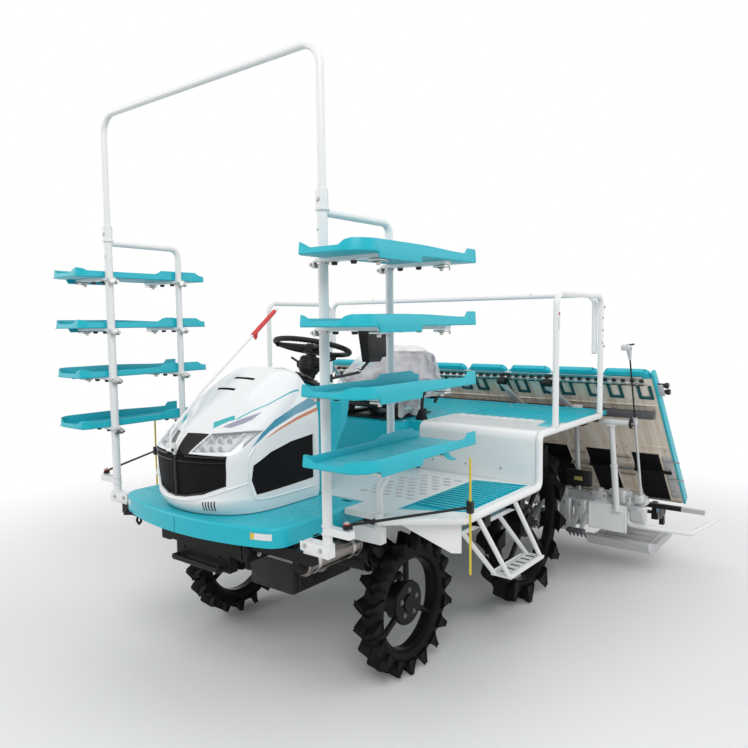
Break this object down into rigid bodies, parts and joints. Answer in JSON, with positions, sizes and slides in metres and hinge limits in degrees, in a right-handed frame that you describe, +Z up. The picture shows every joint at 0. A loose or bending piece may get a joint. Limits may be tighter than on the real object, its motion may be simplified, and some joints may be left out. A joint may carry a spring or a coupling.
{
  "type": "rice transplanter",
  "caption": "Ride-on rice transplanter: four-wheel chassis, hood, seedling racks, operator deck and seat, and a lifting planting unit with a sliding seedling table.",
  "frame": {"origin": "on the ground under the middle of the machine's overall box", "axes": "+Z up, -Y towards the front of the machine, +X towards its left side"},
  "size_m": [2.9494, 3.403, 2.647],
  "materials": {
    "frame_black": "satin",
    "engine_grey": "satin",
    "axle_grey": "satin",
    "muffler_steel": "satin",
    "deck_teal": "gloss",
    "panel_white": "gloss",
    "mesh_black": "matte",
    "lamp_clear": "gloss",
    "cowl_teal": "gloss",
    "grip_black": "satin",
    "seat_grey": "matte",
    "tube_white": "gloss",
    "tray_teal": "satin",
    "tyre_rubber": "matte",
    "rim_grey": "satin",
    "link_black": "satin",
    "rod_chrome": "gloss",
    "planter_silver": "satin",
    "table_beige": "satin",
    "table_teal": "gloss",
    "belt_black": "matte",
    "rotor_silver": "satin",
    "float_grey": "satin",
    "marker_yellow": "satin",
    "pole_white": "gloss",
    "screen_black": "gloss"
  },
  "bodies": {
    "chassis": {"main_frame": "frame_black", "engine_block": "engine_grey", "front_axle_beam": "axle_grey", "rear_axle_case": "axle_grey", "muffler": "muffler_steel", "front_deck": "deck_teal", "floor_deck": "panel_white", "side_steps": "deck_teal", "fender_panels": "panel_white", "rear_deck": "deck_teal", "dash_cowl": "cowl_teal", "steering_column": "grip_black", "seat": "seat_grey", "seat_base": "grip_black", "control_console": "screen_black", "step_ladders": "tube_white", "handrails": "tube_white", "rack_posts": "tube_white", "seedling_trays": "tray_teal", "overhead_gate": "tube_white"},
    "hood": {"hood": "panel_white", "grille": "mesh_black", "headlights": "lamp_clear"},
    "steering_wheel": {"steering_wheel": "grip_black"},
    "knuckle_left": {"knuckle_left": "axle_grey"},
    "knuckle_right": {"knuckle_right": "axle_grey"},
    "front_wheel_left": {"front_tyre_left": "tyre_rubber", "front_rim_left": "rim_grey"},
    "front_wheel_right": {"front_tyre_right": "tyre_rubber", "front_rim_right": "rim_grey"},
    "rear_wheel_left": {"rear_tyre_left": "tyre_rubber", "rear_rim_left": "rim_grey"},
    "rear_wheel_right": {"rear_tyre_right": "tyre_rubber", "rear_rim_right": "rim_grey"},
    "marker_arm_left": {"marker_arm_left": "marker_yellow"},
    "marker_arm_right": {"marker_arm_right": "marker_yellow"},
    "centre_pole": {"centre_pole": "pole_white"},
    "lower_links": {"lift_lower_links": "link_black"},
    "upper_links": {"lift_upper_links": "link_black"},
    "cylinder_barrel": {"cylinder_barrel": "link_black"},
    "cylinder_rod": {"cylinder_rod": "rod_chrome"},
    "planter": {"planter_frame": "planter_silver", "guard_tubes": "planter_silver", "planter_covers": "panel_white"},
    "seedling_table": {"table_panel": "table_beige", "seedling_table": "table_teal", "feed_belts": "belt_black"},
    "planting_rotors": {"planting_rotors": "rotor_silver"},
    "centre_float": {"centre_float": "float_grey"},
    "side_floats": {"side_floats": "float_grey"}
  },
  "joints": [
    {"name": "hood_hinge", "type": "hinge", "parent": "chassis", "child": "hood", "pos_m": [0, -1.1535, 1.428], "axis": [1, 0, 0], "range_deg": [-38, 0]},
    {"name": "steering_wheel_turn", "type": "hinge", "parent": "chassis", "child": "steering_wheel", "pos_m": [0, -0.8225, 1.507], "axis": [0, 0.2588, 0.9659], "range_deg": [-540, 540]},
    {"name": "steer_left", "type": "hinge", "parent": "chassis", "child": "knuckle_left", "pos_m": [0.455, -0.8475, 0.515], "axis": [0, 0, 1], "range_deg": [-40, 40]},
    {"name": "steer_right", "type": "hinge", "parent": "chassis", "child": "knuckle_right", "pos_m": [-0.455, -0.8475, 0.515], "axis": [0, 0, 1], "range_deg": [-40, 40]},
    {"name": "front_wheel_left_spin", "type": "hinge", "parent": "knuckle_left", "child": "front_wheel_left", "pos_m": [0.589, -0.8475, 0.325], "axis": [1, 0, 0], "continuous": true},
    {"name": "front_wheel_right_spin", "type": "hinge", "parent": "knuckle_right", "child": "front_wheel_right", "pos_m": [-0.589, -0.8475, 0.325], "axis": [1, 0, 0], "continuous": true},
    {"name": "rear_wheel_left_spin", "type": "hinge", "parent": "chassis", "child": "rear_wheel_left", "pos_m": [0.667, 0.2435, 0.466], "axis": [1, 0, 0], "continuous": true},
    {"name": "rear_wheel_right_spin", "type": "hinge", "parent": "chassis", "child": "rear_wheel_right", "pos_m": [-0.667, 0.2435, 0.466], "axis": [1, 0, 0], "continuous": true},
    {"name": "marker_left_swing", "type": "hinge", "parent": "chassis", "child": "marker_arm_left", "pos_m": [0.8, -1.5125, 0.872], "axis": [0, 0, 1], "range_deg": [-60, 0]},
    {"name": "marker_right_swing", "type": "hinge", "parent": "chassis", "child": "marker_arm_right", "pos_m": [-0.8, -1.5125, 0.872], "axis": [0, 0, 1], "range_deg": [0, 60]},
    {"name": "centre_pole_fold", "type": "hinge", "parent": "hood", "child": "centre_pole", "pos_m": [0, -1.6935, 1.112], "axis": [1, 0, 0], "range_deg": [0, 50]},
    {"name": "lift", "type": "hinge", "parent": "chassis", "child": "lower_links", "pos_m": [0, 0.3355, 0.48], "axis": [1, 0, 0], "range_deg": [-8, 45]},
    {"name": "upper_link_swing", "type": "hinge", "parent": "chassis", "child": "upper_links", "pos_m": [0, 0.3355, 0.72], "axis": [1, 0, 0], "range_deg": [-9, 46]},
    {"name": "hitch_level", "type": "hinge", "parent": "lower_links", "child": "planter", "pos_m": [0, 0.74912, 0.40707], "axis": [1, 0, 0], "range_deg": [-46, 9]},
    {"name": "barrel_swing", "type": "hinge", "parent": "chassis", "child": "cylinder_barrel", "pos_m": [0, -0.2075, 0.7], "axis": [1, 0, 0], "range_deg": [-4.13, 1.56]},
    {"name": "rod_slide", "type": "slide", "parent": "cylinder_barrel", "child": "cylinder_rod", "axis": [0, 0.9992, -0.0398], "range_m": [-0.1544, 0.0299]},
    {"name": "table_slide", "type": "slide", "parent": "planter", "child": "seedling_table", "axis": [1, 0, 0], "range_m": [-0.197, 0.083]},
    {"name": "rotor_spin", "type": "hinge", "parent": "planter", "child": "planting_rotors", "pos_m": [0, 1.5925, 0.262], "axis": [1, 0, 0], "continuous": true},
    {"name": "centre_float_tilt", "type": "hinge", "parent": "planter", "child": "centre_float", "pos_m": [0, 1.2725, 0.245], "axis": [-1, 0, 0], "range_deg": [0, 8]},
    {"name": "side_float_tilt", "type": "hinge", "parent": "planter", "child": "side_floats", "pos_m": [0, 1.2725, 0.245], "axis": [-1, 0, 0], "range_deg": [0, 8]}
  ],
  "couplings": [
    {"joint": "steer_right", "follows": "steer_left", "ratio": 1},
    {"joint": "steering_wheel_turn", "follows": "steer_left", "ratio": 13.5},
    {"joint": "upper_link_swing", "follows": "lift", "ratio": 1},
    {"joint": "hitch_level", "follows": "lift", "ratio": -1},
    {"joint": "barrel_swing", "follows": "lift", "ratio": -0.0696},
    {"joint": "rod_slide", "follows": "lift", "m_per_rad": -0.19279}
  ]
}
